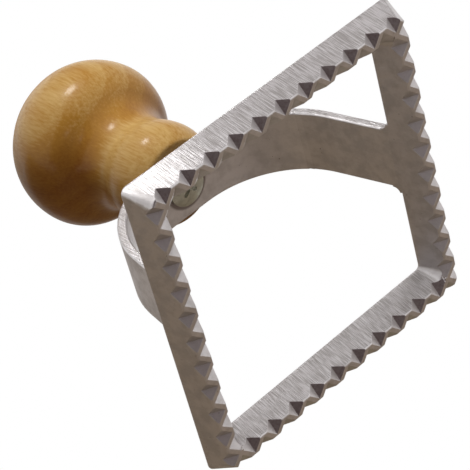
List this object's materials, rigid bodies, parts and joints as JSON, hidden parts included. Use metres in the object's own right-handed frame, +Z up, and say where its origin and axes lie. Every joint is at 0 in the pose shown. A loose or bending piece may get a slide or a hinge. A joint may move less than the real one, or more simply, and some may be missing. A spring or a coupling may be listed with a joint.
{
  "type": "ravioli stamp",
  "caption": "Square ravioli stamp with a toothed cast cutting frame, a flat bridging strap and a turned wooden knob held by a screw.",
  "frame": {"origin": "centre of the square that the cutting edge marks, on the board it stands on", "axes": "+Z up from the cutting edge to the knob, X along the strap, Y across it"},
  "size_m": [0.0692, 0.0692, 0.0843],
  "materials": {
    "cast_aluminium": "satin, sanded on the outside",
    "turned_wood": "glossy honey varnish",
    "screw_steel": "dull plated"
  },
  "bodies": {
    "root": {"cutter_frame": "cast_aluminium", "handle_knob": "turned_wood", "fixing_screw": "screw_steel"}
  },
  "joints": []
}
